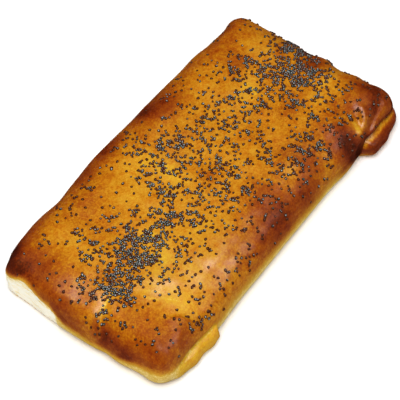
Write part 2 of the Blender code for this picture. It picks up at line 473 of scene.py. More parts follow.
    def shoulder_depth(self, height: Array, power: Array, tuck: Array) -> Array:
        """Depth in from the widest line at a height on the wall, above it or below it.

        Args:
            height: Heights on the wall.
            power: How boxy the shoulder is at each.
            tuck: How far the foot is drawn in at each.

        Returns:
            The depths.
        """
        up = np.clip((height - self.widest) / (self.height - self.widest), 0.0, 1.0)
        down = np.clip(1.0 - height / self.widest, 0.0, 1.0)
        above = self.shoulder * (1.0 - (1.0 - up**power) ** (1.0 / power))
        return above + tuck * (1.0 - np.sqrt(1.0 - down**2))

    def relief(self, x: Array, y: Array) -> Array:
        """Height that swells, creases and lobes add at places in plan."""
        return sum(shape.soft(x, y) for shape in self.swells + self.creases + self.folds)

    def wave(self, point: Array) -> float:
        """Slow unevenness of baked dough at a point."""
        return sum(rise * noise.noise(Vector(point) / size) for size, rise in self.waves)

    def along(self, rim_x: Array, rim_y: Array) -> Array:
        """Place along the -Y side, carried on round its two corners."""
        return rim_x + np.copysign(rim_y + self.width / 2, rim_x)

    def points(self, index: Array, grid: Grid) -> tuple[Array, dict[str, Array]]:
        """Move the points of a box of cells to the crust's surface.

        Args:
            index: Each point's whole-number place in the box.
            grid: How finely the box is cut.

        Returns:
            The points, and for each its depth in from the edge, its place along the -Y side, whether the
            lips can reach it, the way out and its height before any relief.
        """
        cells = grid.cells
        ix, iy, iz = index.T
        x = self.grid_place(ix, cells[0], self.length / 2, grid)
        y = self.grid_place(iy, cells[1], self.width / 2, grid)
        core_x, core_y, out_x, out_y = self.rim_frame(x, y)
        ring = np.minimum(np.minimum(ix, cells[0] - ix), np.minimum(iy, cells[1] - iy))
        power = self.roundness + self.boxy.soft(x, y)
        tuck = self.tuck * (1.0 - self.straight.soft(x, y))

        wall = self.shoulder_height(self.ring_depth(0, grid), power) * iz / cells[2]
        depth = np.where(ring == 0, self.shoulder_depth(wall, power, tuck), self.ring_depth(ring, grid))
        sole = np.maximum(depth, tuck + self.tuck * ring / grid.rings)
        depth = np.where((iz == 0) & (ring > 0), sole, depth)
        height = np.where(ring == 0, wall, self.shoulder_height(depth, power))
        height = np.where(iz == 0, 0.0, height)

        rim_x, rim_y = core_x + out_x * self.corner, core_y + out_y * self.corner
        along, lipped = self.along(rim_x, rim_y), out_y < self.lip_side
        lips = (self.near_lip.push(along, height) + self.far_lip.push(along, height)) * lipped
        moved = sum(push.soft(rim_x, rim_y) for push in self.pushes) + lips
        share = np.clip(1.0 - (depth / self.corner) ** 2, 0.0, 1.0) ** self.edge_fade
        out = self.corner - depth + moved * share
        px, py = core_x + out_x * out, core_y + out_y * out
        raised = height + self.relief(px, py) * smooth(0.0, self.height, height)
        points = np.stack([px, py, raised], axis=1)
        for point in points:
            point[2] += self.wave(point) * min(point[2] / self.widest, 1.0)
        facts = {"depth": depth, "along": along, "lipped": lipped, "flat": height}
        return points, facts | {"out": np.stack([out_x, out_y, np.zeros(len(out_x))], axis=1)}


class Tan(float, Enum):
    """How much darker or paler a spot is than the crust round it: how much further or less far it was baked,
    and in a few spots painted light or shade as well.
    """

    SCORCHED_AND_SHADED = 0.44
    DEEP = 0.28
    BROWN = 0.19
    WARM = 0.13
    FAINT = 0.08
    SOFT = -0.06
    LIGHT = -0.10
    GOLD = -0.16

    def at(self, *places: tuple[float, ...]) -> tuple[Oval, ...]:
        """Spots of this tan, each given by its middle, half length, half width and, if any, its turn."""
        return tuple(Oval(*place[:4], self.value, *place[4:]) for place in places)


@dataclass(frozen=True)
class BakePlan:
    """How far each place was baked, with a few places of painted highlight and shade: 0 raw white dough, 0.4
    golden, 0.7 brown and 1 nearly burnt.
    """

    # Base and the amounts of at least 50 of these spots first came from a program: a least-squares fit of
    # listed ovals to the photo's colours. A second one moved each amount to the nearest tan. The rest was
    # added or changed one by one.
    base: float = 0.54
    # Lighter spots at (-52, -17), (-40, -26), (20, -28) and (-68, -6) lie where the crust is glossy: they are
    # partly paler dough and partly painted highlight. The darkest spot, at (46, -37) in the hollow before the
    # far corner's fold, is partly browning and partly painted shade.
    spots: tuple[Oval, ...] = (
        *Tan.SCORCHED_AND_SHADED.at((46, -37, 6.5, 6.5)),
        *Tan.DEEP.at(
            (-75, 30, 8, 9), (70, -6, 7, 4.5), (3, -36, 9, 6), (18, -37, 6, 4), (73, -31, 6, 9),
            (51, -43, 6, 3),
        ),
        *Tan.BROWN.at(
            (-66, 37, 7, 4), (-79, 5, 5, 10), (-76, -12, 2.5, 3), (-80, -26, 4, 6), (-26, 36, 7, 5),
            (10, 35, 5, 5), (18, 32, 7, 5), (2, -27, 9, 8), (-9, -37, 9, 4), (27, -32, 6, 5),
            (76, -40, 4, 2), (-9, 37, 8, 4), (-70, 36, 5, 4), (66, -37, 5, 3, 20),
        ),
        *Tan.WARM.at(
            (-77, 32, 5, 6), (-74, 17, 7, 12), (61, -36, 6, 4), (74, -34, 6, 5), (-72, -34, 8, 5),
            (-14, 36, 5, 4), (8, 35, 5, 4), (52, 18, 5, 3.5), (67, 34, 9, 4), (67, 7, 5, 3),
            (25, -8, 3.5, 3.5), (45, -11, 7, 4), (-1, -4, 4, 5), (-55, 37, 7, 4), (62, -31, 4, 3),
            (19, 38, 8, 2.5),
        ),
        *Tan.FAINT.at(
            (-74, -20, 6, 14), (-63, -17, 7, 7), (-34, 38, 42, 5), (58, -27, 7, 4), (-66, 26, 9, 7),
            (-67, -34, 10, 6), (64, 26, 10, 7), (-68, -26, 7, 5), (-57, -37, 9, 3), (-40, 28, 9, 12),
            (0, 28.5, 4, 3), (14, 28, 7, 4), (18, 27, 9, 4), (42, 34, 30, 5), (22, -23, 5, 4),
            (-22, -37, 6, 3), (44, -26, 22, 4), (-58, -2, 4, 4), (-67, 18, 6, 6), (51, 25, 7, 8),
            (-14, -30, 9, 5), (-20, 6, 4, 3),
        ),
        *Tan.SOFT.at(
            (-26, 15, 5, 3), (-15, 4, 5, 5), (-25, 3, 4, 3), (31, 22, 4, 5), (43, 23, 4, 4),
            (53, -17, 4, 4), (10, -2, 16, 14), (27, 12, 8, 7),
        ),
        *Tan.LIGHT.at(
            (64, -16, 7, 5), (-55, 15, 5, 16), (-13, 23, 6, 5), (-40, -26, 9, 6), (62, 18, 6, 8),
            (57, -36, 4, 3), (-24, -16, 20, 12), (-20, 12, 14, 12),
        ),
        *Tan.GOLD.at(
            (-8, 12, 4, 9), (-36, -2, 6, 5), (-41, -12, 6, 5), (-52, -17, 7, 6), (-52, -29, 5, 7),
            (-68, -6, 6, 3.5), (42, 7, 9, 5, 20), (20, -28, 3.5, 3),
        ),
    )
    # The first two paler lines, along the -X end's crease, are partly less-baked dough and partly painted
    # highlight on its glossy flank. The darker line from (68, -38.4) along the far corner's fold is partly
    # browning and partly painted shade.
    streaks: tuple[Crease, ...] = (
        Crease(-63, -6, -71, -6.5, 0.5, -0.20, -0.18), Crease(-71.5, -7, -77, -10, 0.4, -0.18, -0.18),
        Crease(-57, -12, -52.5, -20, 0.4, -0.10, -0.08),
        Crease(55.4, -35.2, 53.8, -38, 1.2, -0.20, -0.28), Crease(68, -38.4, 50, -41.3, 1.0, 0.06, 0.20),
        Crease(-57.7, -16, -55.5, -21, 0.35, -0.16, -0.20),
        Crease(-54, -22, -49.5, -31, 0.35, -0.14, -0.08),
        Crease(-75.5, -8, -77.5, -23.5, 2.2, 0.14, 0.21),
    )
    flaps: tuple[Fold, ...] = (Fold(-66, -38, 12.4, 11.4, 32, 26, 0.13, 0.04, 0.8),)
    # Egg wash: how thickly it was brushed on, where more or less of it lies, and its lumps.
    wash: float = 0.14
    washed: tuple[Oval, ...] = (
        Oval(-73, 5, 5, 6, 0.2), Oval(-48, -27, 7, 6, -0.2), Oval(-71, -5.6, 5, 1.1, 0.8, 15),
        Oval(-65, -22, 9, 9, -0.3), Oval(-68, 19, 7, 8, -0.2), Oval(-52, -18, 6, 4, 0.8),
        Oval(-44, -14, 8, 5, 0.6), Oval(-53, -25, 4, 4, 0.25), Oval(-66, -38, 8, 3, 0.9),
        Oval(-25, -29, 12, 6, 1.3), Oval(-37, -20, 8, 5, 0.6), Oval(-24, 21, 12, 6, -0.2),
        Oval(1, 15, 10, 6, 0.8), Oval(28, -26, 8, 5, 1.2), Oval(47, -38, 6, 4, 0.9),
        Oval(62, -36, 8, 4, 1.0, 30), Oval(73, -35, 3, 3, 1.0), Oval(30, 10, 16, 7, 0.5),
        Oval(61, 12, 10, 7, 0.6), Oval(69, -12, 4, 5, 1.1),
    )
    wash_lump: float = 3.0
    wash_lumpiness: float = 1.4
    # The upright end wall, which stood against another bread in the pan and stayed pale to higher up.
    wall_top: float = 12.0
    wall_rise: float = 3.4
    wall_rise_y: float = 25.0
    wall_rise_width: float = 6.0
    wall_band: float = 2.9
    wall_x: Step = Step(-60.0, -74.0)
    wall_start: Step = Step(5.0, 13.0)
    wall_end: Step = Step(43.0, 34.0)
    # The pale foot all round: its height, which varies at the -X end and along the -Y side, and its tan.
    foot_top: float = 4.2
    end_foot: float = 6.7
    end_x: Step = Step(-56.0, -72.0)
    end_dip: Oval = Oval(-77, -10, 9, 12, -1.6)
    side_foot: float = 5.6
    side_y: Step = Step(-31.0, -37.0)
    side_x: Step = Step(-56.0, -48.0)
    side_rise: Crease = Crease(-38, -41, 8, -41, 9, 1.5, 1.0)
    side_dip: Oval = Oval(41, -42, 7, 8, -2.0)
    corner_rise: float = 2.0
    corner_x: Step = Step(-62.0, -72.0)
    corner_y: Step = Step(-20.0, -34.0)
    band: float = 3.4
    side_band: float = 4.9
    band_below: float = 0.4
    foot_level: float = 0.19
    foot_tans: tuple[Oval, ...] = (Oval(-78, -9, 10, 13, 0.08), Oval(-73, -35, 12, 12, 0.03))
    # Bare crumb where the bread was torn from its neighbour: heights are from the pale dough's top.
    raw_tops: Step = Step(9.0, 10.5)
    raw_edge: Step = Step(-1.6, 0.2)
    crumb_level: float = 0.12
    crumb_edge: Step = Step(-4.5, -0.5)
    # Both lips' colours reach rim_depth in from the edge. The far one has a brown roll, a groove over it
    # and a dark valley under the fold above, which is partly browning and partly painted shade, with heights
    # from its crest. Past covered_along, it leaves the pale foot only covered_top high.
    rim_depth: float = 6.0
    roll_level: float = 0.9
    roll_under: float = 0.14
    roll_foot: Step = Step(4.6, 2.0)
    roll_edge: Step = Step(0.6, 0.1)
    valley_browning_and_shade: float = 0.26
    valley_above: float = 2.6
    valley_width: float = 1.3
    groove_level: float = 0.38
    groove_below: float = 0.1
    groove_width: float = 0.32
    groove_span: Step = Step(0.25, 0.6)
    covered_along: Step = Step(42.0, 50.0)
    covered_top: float = 0.8
    # The near lip, yellow and paler at its foot and crest, and the browned sole.
    lip_level: float = 0.36
    lip_edge: Step = Step(1.3, 0.5)
    lip_foot: float = 0.18
    lip_foot_height: Step = Step(0.8, 2.6)
    lip_crest: float = 0.1
    lip_crest_height: Step = Step(-0.9, 0.3)
    sole_level: float = 0.5
    sole_height: Step = Step(0.2, 0.8)

    def pale_top(self, x: Array, y: Array) -> tuple[Array, Array]:
        """Where the pale dough ends.

        Args:
            x: Places along the bread.
            y: Places across it.

        Returns:
            The height under which the dough stayed pale, and over how much height it then turns brown.
        """
        beside = self.wall_x.at(x) * self.wall_start.at(y) * self.wall_end.at(y)
        side = self.side_y.at(y) * self.side_x.at(x)
        foot = self.foot_top + (self.end_foot - self.foot_top) * self.end_x.at(x)
        foot = foot + (self.side_foot + self.side_rise.soft(x, y) + self.side_dip.soft(x, y) - foot) * side
        foot = foot + self.corner_rise * self.corner_x.at(x) * self.corner_y.at(y)
        foot = foot + self.end_dip.soft(x, y)
        higher = np.exp(-(((y - self.wall_rise_y) / self.wall_rise_width) ** 2))
        wall = self.wall_top + self.wall_rise * higher
        band = self.band + (self.side_band - self.band) * side
        return foot + (wall - foot) * beside, band + (self.wall_band - band) * beside

    def glaze(self, points: Array, raw: Array) -> Array:
        """How thickly egg wash lies.

        Args:
            points: Points of the crust.
            raw: How much each is torn crumb.

        Returns:
            Its thickness at each, from 0 to 1.
        """
        x, y, _ = points.T
        given = self.wash + sum(patch.soft(x, y) for patch in self.washed)
        lumps = np.array([noise.noise(Vector(point) / self.wash_lump) for point in points])
        return np.clip(given * (1.0 + self.wash_lumpiness * lumps) * (1.0 - raw), 0.0, 1.0)

    def roll(self, level: Array, span: Array, flat: Array, crest: Array) -> Array:
        """Colour the far lip: a brown roll, a golden groove over it, and above that a valley of browning and
        painted shade.

        Args:
            level: How far each point was baked without the lip.
            span: How fully the lip is there.
            flat: Each point's height before any relief.
            crest: The height of the lip's crest there.

        Returns:
            The new levels.
        """
        brown = self.roll_level + self.roll_under * self.roll_foot.at(flat)
        level = level + (brown - level) * np.sqrt(span) * self.roll_edge.at(flat, crest)
        # Painted shade, with some browning, in the valley under the fold.
        hollow = np.exp(-(((flat - crest - self.valley_above) / self.valley_width) ** 2))
        level = level + self.valley_browning_and_shade * np.sqrt(span) * hollow
        groove = np.exp(-(((flat - crest + self.groove_below) / self.groove_width) ** 2))
        groove = groove * self.groove_span.at(span)
        return level + (self.groove_level - level) * groove

    def levels(self, form: CrustForm, points: Array, facts: dict[str, Array]) -> tuple[Array, Array]:
        """Read the plan on the crust.

        Args:
            form: The crust's shape.
            points: Its points.
            facts: What form.points gave with them.

        Returns:
            How far each point was baked, and how much it is torn white crumb.
        """
        x, y, z = points.T
        flat, along = facts["flat"], facts["along"]
        side = facts["lipped"] * (facts["depth"] < self.rim_depth)
        span = form.far_lip.span(along) * side
        level = self.base + sum(spot.soft(x, y) for spot in self.spots + self.streaks + self.flaps)
        level = self.roll(level, span, flat, form.far_lip.crest(along))

        top, band = self.pale_top(x, y)
        covered = np.maximum(np.sqrt(span), self.covered_along.at(along) * side)
        top = top - (top - self.covered_top) * covered
        raw = self.raw_tops.at(top) * (1.0 - self.raw_edge.at(z, top))
        foot = (self.foot_level + sum(place.soft(x, y) for place in self.foot_tans)) * (1.0 - raw)
        foot = foot + self.crumb_level * raw * self.crumb_edge.at(z, top)
        level = foot + (level - foot) * smooth(top - self.band_below * band, top + band, z)

        crest = form.near_lip.crest(along)
        near = form.near_lip.span(along) * side * self.lip_edge.at(flat, crest)
        yellow = self.lip_level - self.lip_foot * (1.0 - self.lip_foot_height.at(z))
        yellow = yellow - self.lip_crest * self.lip_crest_height.at(flat, crest)
        level = level + (yellow - level) * near
        sole = self.sole_level * (1.0 - self.sole_height.at(z)) * (1.0 - near)
        return np.maximum(level, sole), raw


@dataclass(frozen=True)
class CrustFinish:
    """Egg-washed yeast dough baked to a thin glossy skin, yellow in its dips and red brown on its shoulders.

    The eye sees a soft broad sheen over a mottled golden skin, with fine pores and wrinkles. Sizes and
    depths of its patterns are millimetres.
    """

    # The ramp began with the photo's median colours by brightness, from a program, and was then changed.
    stops: tuple[tuple[float, str], ...] = (
        (0.00, "FFFAE8"), (0.12, "F8E6AE"), (0.20, "E6C465"), (0.28, "D3A41E"), (0.36, "CC941E"),
        (0.42, "C6891C"), (0.48, "C07F12"), (0.54, "B77107"), (0.60, "A96003"), (0.68, "974802"),
        (0.76, "893A02"), (0.86, "742602"), (1.00, "481304"),
    )
    roughness: float = 0.46
    raw_roughness: float = 0.9
    ior: float = 1.33
    sheen: tuple[float, float, float] = (1.0, 0.62, 0.24)
    glaze_roughness: float = 0.24
    glaze_ior: float = 1.56
    # Mottling: sizes with their amounts, and the levels between which it grows from a share to full.
    mottles: tuple[tuple[float, float], ...] = ((8.0, 0.12), (3.6, 0.26), (1.4, 0.30), (0.7, 0.26))
    mottle_levels: tuple[float, float] = (0.1, 0.4)
    pale_mottle: float = 0.35
    mottle_octaves: float = 4.0
    # Orange patches: their tint and size, where their noise shows, and on which levels.
    orange: tuple[float, float, float] = (1.0, 0.84, 0.55)
    orange_mm: float = 4.0
    orange_octaves: float = 3.0
    orange_noise: tuple[float, float] = (0.44, 0.62)
    orange_levels: tuple[float, float] = (0.32, 0.46)
    orange_share: float = 0.7
    # Relief of the skin: each kind's size, octaves and depth. Blisters come in groups.
    wrinkle_mm: float = 3.2
    wrinkle_octaves: float = 4.0
    wrinkle_depth: float = 0.35
    pore_mm: float = 0.9
    pore_octaves: float = 3.0
    pore_depth: float = 0.12
    blister_mm: float = 2.4
    blister_depth: float = 0.22
    blister_dome: float = 0.34
    blister_group_mm: float = 4.0
    blister_octaves: float = 2.0
    blister_noise: tuple[float, float] = (0.52, 0.62)
    tear_mm: tuple[float, float, float] = (6.0, 6.0, 1.1)
    tear_octaves: float = 3.0
    tear_depth: float = 1.2
    tear_colour: float = 0.6
    bump_strength: float = 0.7
    noise_roughness: float = 0.6

    def material(self) -> bpy.types.Material:
        """Build the material.

        Returns:
            The material.
        """
        material, tree, shader = new_material("egg_washed_crust")
        place = add_node(tree, "ShaderNodeTexCoord").outputs["Object"]
        bake, raw, glaze = (
            add_node(tree, "ShaderNodeAttribute", attribute_name=name.value).outputs["Fac"]
            for name in (Attribute.BAKE, Attribute.RAW, Attribute.GLAZE)
        )
        scales = tuple(1.0 / (side * MM) for side in self.tear_mm)
        torn = add_node(tree, "ShaderNodeVectorMath", {0: place, 1: scales}, operation="MULTIPLY")
        spread = {"Vector": torn.outputs[0], "Scale": 1.0, "Detail": self.tear_octaves}
        tears = add_node(tree, "ShaderNodeTexNoise", spread)
        level = self.mottled(tree, place, bake)
        share = add_node(tree, "ShaderNodeMath", {0: raw, 1: self.tear_colour}, operation="MULTIPLY")
        level = self.shifted(tree, level, tears.outputs["Fac"], share.outputs[0])
        ends = {"Value": raw, "To Min": self.roughness, "To Max": self.raw_roughness}
        # A soft sheen with the tan tint of fat, a clear coat where egg wash lies, and matt torn crumb.
        look = {
            "Base Color": self.colour(tree, place, level),
            "Normal": self.skin(tree, place, tears.outputs["Fac"], raw),
            "Roughness": add_node(tree, "ShaderNodeMapRange", ends).outputs["Result"],
            "IOR": self.ior,
            "Specular Tint": (*self.sheen, 1.0),
            "Coat Weight": glaze,
            "Coat Roughness": self.glaze_roughness,
            "Coat IOR": self.glaze_ior,
        }
        set_inputs(tree, shader, look)
        return material

    def noise(self, tree: Tree, place: Socket, size: float, octaves: float) -> Socket:
        """Soft noise with lumps of about a size in millimetres, and finer ones for each octave."""
        inputs = {"Scale": 1.0 / (size * MM), "Detail": octaves, "Roughness": self.noise_roughness}
        return add_node(tree, "ShaderNodeTexNoise", {"Vector": place, **inputs}).outputs["Fac"]

    def shifted(self, tree: Tree, level: Socket, pattern: Socket, amount: Socket) -> Socket:
        """Add a pattern to a level, so that its middle value of a half changes nothing.

        Args:
            tree: The material's tree.
            level: The level.
            pattern: The pattern, from 0 to 1.
            amount: How much of it is added.

        Returns:
            The new level's socket.
        """
        centred = add_node(tree, "ShaderNodeMath", {0: pattern, 1: 0.5}, operation="SUBTRACT")
        inputs = {0: centred.outputs[0], 1: amount, 2: level}
        return add_node(tree, "ShaderNodeMath", inputs, operation="MULTIPLY_ADD").outputs[0]

    def mottled(self, tree: Tree, place: Socket, bake: Socket) -> Socket:
        """Mottle how far the crust was baked, and the pale dough less than the rest.

        Args:
            tree: The material's tree.
            place: Object coordinates.
            bake: How far each place was baked.

        Returns:
            The mottled level's socket.
        """
        low, high = self.mottle_levels
        ends = {"Value": bake, "From Min": low, "From Max": high, "To Min": self.pale_mottle}
        fully = add_node(tree, "ShaderNodeMapRange", ends).outputs["Result"]
        level = bake
        for size, amount in self.mottles:
            share = add_node(tree, "ShaderNodeMath", {0: fully, 1: amount}, operation="MULTIPLY")
            pattern = self.noise(tree, place, size, self.mottle_octaves)
            level = self.shifted(tree, level, pattern, share.outputs[0])
        return level

    def colour(self, tree: Tree, place: Socket, level: Socket) -> Socket:
        """Colour the crust by its level, with orange patches where it is brown.

        Args:
            tree: The material's tree.
            place: Object coordinates.
            level: The mottled level.

        Returns:
            The colour's socket.
        """
        ramp = add_node(tree, "ShaderNodeValToRGB", {"Fac": level})
        set_stops(ramp, self.stops)
        low, high = self.orange_noise
        pattern = self.noise(tree, place, self.orange_mm, self.orange_octaves)
        ends = {"Value": pattern, "From Min": low, "From Max": high}
        patch = add_node(tree, "ShaderNodeMapRange", ends, interpolation_type="SMOOTHSTEP")
        low, high = self.orange_levels
        ends = {"Value": level, "From Min": low, "From Max": high, "To Max": self.orange_share}
        browned = add_node(tree, "ShaderNodeMapRange", ends)
        shares = {0: patch.outputs["Result"], 1: browned.outputs["Result"]}
        share = add_node(tree, "ShaderNodeMath", shares, operation="MULTIPLY")
        tint = {0: share.outputs[0], 6: ramp.outputs["Color"], 7: (*self.orange, 1.0)}
        return add_node(tree, "ShaderNodeMix", tint, data_type="RGBA", blend_type="MULTIPLY").outputs[2]

    def skin(self, tree: Tree, place: Socket, tears: Socket, raw: Socket) -> Socket:
        """Bumps of the skin: slow wrinkles, small blisters, fine pores, and tears where the crumb is bare.

        Args:
            tree: The material's tree.
            place: Object coordinates.
            tears: The torn crumb's pattern.
            raw: Where the crumb is bare.

        Returns:
            The normal's socket.
        """
        spread = {"Vector": place, "Scale": 1.0 / (self.blister_mm * MM)}
        cells = add_node(tree, "ShaderNodeTexVoronoi", spread)
        ends = {"Value": cells.outputs["Distance"], "From Min": self.blister_dome, "From Max": 0.0}
        domes = add_node(tree, "ShaderNodeMapRange", ends, interpolation_type="SMOOTHSTEP")
        low, high = self.blister_noise
        groups = self.noise(tree, place, self.blister_group_mm, self.blister_octaves)
        where = add_node(tree, "ShaderNodeMapRange", {"Value": groups, "From Min": low, "From Max": high})
        shares = {0: domes.outputs["Result"], 1: where.outputs["Result"]}
        blisters = add_node(tree, "ShaderNodeMath", shares, operation="MULTIPLY")
        torn = add_node(tree, "ShaderNodeMath", {0: tears, 1: raw}, operation="MULTIPLY")
        normal = None
        for height, depth in (
            (self.noise(tree, place, self.wrinkle_mm, self.wrinkle_octaves), self.wrinkle_depth),
            (blisters.outputs[0], self.blister_depth),
            (self.noise(tree, place, self.pore_mm, self.pore_octaves), self.pore_depth),
            (torn.outputs[0], self.tear_depth),
        ):
            inputs = {"Height": height, "Distance": depth * MM, "Strength": self.bump_strength}
            if normal is not None:
                inputs["Normal"] = normal
            normal = add_node(tree, "ShaderNodeBump", inputs).outputs["Normal"]
        return normal


@dataclass(frozen=True)
class SeedFinish:
    """Blue poppy seed: a hard netted hull, slate grey where egg wash hasn't soaked it.

    Egg wash soaked its foot, and painted shade darkens it further, so the eye sees a near-black ring round a
    top with a pale painted highlight and the coat's small glint. Seeds that lie alone are browner than those
    in the clusters.
    """

    # Colours by a seed's tone: of its foot, soaked egg wash with painted shade, and of its top, the hull's
    # colour with a painted highlight; and the heights on the seed over which that highlight fades in.
    rings: tuple[tuple[float, str], ...] = ((0.45, "4A1E06"), (0.70, "201608"), (1.00, "101410"))
    hull_and_glint_colours: tuple[tuple[float, str], ...] = (
        (0.00, "321506"), (0.36, "3A1B08"), (0.40, "9C7358"), (0.48, "7C6654"), (0.55, "D8D0C8"),
        (0.62, "5C4E44"), (0.70, "F2F2F2"), (0.80, "8A9490"), (0.88, "EEF8F4"), (1.00, "B4C0BC"),
    )
    glint_height: tuple[float, float] = (0.77, 0.93)
    roughness: float = 0.55
    ior: float = 1.2
    # How much egg wash is on it at the two tones.
    glaze: tuple[float, float] = (0.35, 1.0)
    glaze_tones: tuple[float, float] = (0.35, 0.7)
    glaze_ior: float = 1.5
    glaze_roughness: float = 0.12

    def material(self) -> bpy.types.Material:
        """Build the material.

        Returns:
            The material.
        """
        material, tree, shader = new_material("poppy_hull")
        tone, glint_height = (
            add_node(tree, "ShaderNodeAttribute", attribute_name=name.value).outputs["Fac"]
            for name in (Attribute.TONE, Attribute.GLINT_HEIGHT)
        )
        hull_and_glint, soaked_and_shaded_foot = (add_node(tree, "ShaderNodeValToRGB", {"Fac": tone}) for _ in range(2))
        set_stops(hull_and_glint, self.hull_and_glint_colours)
        set_stops(soaked_and_shaded_foot, self.rings)
        # By height on the seed: a painted highlight on its top and painted shade round its foot.
        ends = {"Value": glint_height, "From Min": self.glint_height[0], "From Max": self.glint_height[1]}
        top = add_node(tree, "ShaderNodeMapRange", ends, interpolation_type="SMOOTHSTEP")
        parts = {0: top.outputs["Result"], 6: soaked_and_shaded_foot.outputs["Color"], 7: hull_and_glint.outputs["Color"]}
        mixed = add_node(tree, "ShaderNodeMix", parts, data_type="RGBA")
        (low, high), (least, most) = self.glaze_tones, self.glaze
        ends = {"Value": tone, "From Min": low, "From Max": high, "To Min": least, "To Max": most}
        look = {
            "Base Color": mixed.outputs[2],
            "Roughness": self.roughness,
            "IOR": self.ior,
            "Coat Weight": add_node(tree, "ShaderNodeMapRange", ends).outputs["Result"],
            "Coat Roughness": self.glaze_roughness,
            "Coat IOR": self.glaze_ior,
        }
        set_inputs(tree, shader, look)
        return material


@dataclass(frozen=True)
class TableFinish:
    """Matt white paint on a table top, which gives the eye an even pale ground."""

    colour: str = "FCFCFC"
    roughness: float = 0.8

    def material(self) -> bpy.types.Material:
        """Build the material.

        Returns:
            The material.
        """
        material, tree, shader = new_material("white_table_top")
        set_inputs(tree, shader, {"Base Color": linear(self.colour), "Roughness": self.roughness})
        return material


@dataclass(frozen=True)
class SeedPlan:
    """Where the seeds lie, and how thickly: a band along the bread, with fuller and barer patches."""

    band_y: float = -3.0
    band_width: float = 26.0
    thin: float = 0.04
    thick: float = 0.31
    patches: tuple[Oval, ...] = (
        Oval(-44, -2.5, 13, 6, 1.9), Oval(-50, -7, 10, 3.5, 1.5), Oval(-62, 14, 6, 5, -0.25),
        Oval(30, -18, 7, 4, -0.28), Oval(-6, -26, 5, 4, -0.20), Oval(57, -21, 8, 6, -0.18),
        Oval(11, -17, 5, 4, -0.20), Oval(2, 23, 5, 4, -0.16), Oval(-46, 22, 5, 4, -0.14),
        Oval(62, 15, 6, 4, -0.16), Oval(-64, -26, 9, 6, -0.30), Oval(61, -4, 5.5, 5, 2.8),
        Oval(70, 0, 3, 6, 1.0), Oval(50, 18, 8, 4, 0.30), Oval(18, 17, 14, 6, 0.14),
        Oval(-52, 11, 8, 5, 0.25), Oval(-8, 24, 8, 4, 0.16), Oval(2, 0, 9, 6, 0.28),
        Oval(9, -10, 4, 3, 0.40), Oval(13, -26, 5, 3, 0.25), Oval(28, -26, 7, 4, 0.25),
        Oval(43, -34, 4, 3, 0.30), Oval(66, -24, 5, 4, 0.20), Oval(20, -18, 4, 3, 0.25),
        Oval(-70, -9, 5, 3, 0.40), Oval(-30, 22, 6, 4, -0.35), Oval(-62, -18, 6, 4, -0.30),
        Oval(-33, -4, 5, 4, 0.60), Oval(-61, -6, 5, 3, 0.70), Oval(-23, -2, 5, 4, 0.30),
        Oval(68, 4, 4, 6, 1.7), Oval(54, 4, 5, 5, 2.2, -40), Oval(53, 16, 4, 3, 0.35),
        Oval(40, 8, 4, 3, 0.20), Oval(59, -7, 3, 3, 0.45), Oval(46, -9, 3, 3, 0.45),
        Oval(34, 2, 4, 3, 0.20), Oval(-14, 8, 5, 6, 0.14), Oval(4, 17, 12, 6, 0.22, 5),
        Oval(34, -26, 8, 4, 0.30), Oval(60, -20, 9, 5, 0.10), Oval(-46, -35, 5, 3, 0.50),
        Oval(-8, 30, 6, 3, 0.24), Oval(-66, -9, 6, 4, 0.25), Oval(-18, -8, 8, 5, 0.18),
        Oval(62, -14, 8, 7, 0.16), Oval(20, -28, 6, 4, 0.16), Oval(48, -34, 12, 4, 0.12),
        Oval(18, -10, 4, 3, -0.45), Oval(66, 26, 9, 6, -0.50), Oval(-62, 22, 8, 6, -0.16),
        Oval(10, 31, 7, 4, -0.14), Oval(-25, 14, 7, 3.5, -0.60), Oval(-68, 16, 10, 8, -0.18),
        Oval(34, -10, 7, 3, -0.42), Oval(13, -18, 4, 3, -0.20), Oval(-25, -27, 8, 5, -0.34),
        Oval(-78, 0, 8, 40, -0.24), Oval(76, -24, 5, 12, -0.60),
    )
    share: float = 0.60
    # Clumps: their sizes and forces, and the height at which their noise is cut.
    clumps: tuple[tuple[float, float], ...] = ((7.0, 0.9), (2.0, 3.2))
    clump_plane: float = 7.0
    # The height from which seeds stay on, and where they end at the +Y side and the -X end.
    top: Step = Step(9.0, 14.5)
    far_edge: Step = Step(38.0, 32.0)
    end_edge: Step = Step(-79.0, -72.0)

    def density(self, points: Array, raw: Array) -> Array:
        """How thickly the seeds lie.

        Args:
            points: Points of the crust.
            raw: How much each is torn crumb.

        Returns:
            The density at each, from 0 to 1.
        """
        x, y, z = points.T
        band = self.thin + self.thick * np.exp(-(((y - self.band_y) / self.band_width) ** 2))
        given = np.maximum(band + sum(patch.soft(x, y) for patch in self.patches), self.thin)
        gather = sum(
            force * np.array([noise.noise(Vector((a, b, self.clump_plane)) / size) for a, b in zip(x, y)])
            for size, force in self.clumps
        )
        held = self.top.at(z) * self.far_edge.at(y) * self.end_edge.at(x) * (1.0 - raw)
        return np.clip(self.share * given * np.exp(gather) * held, 0.0, 1.0)


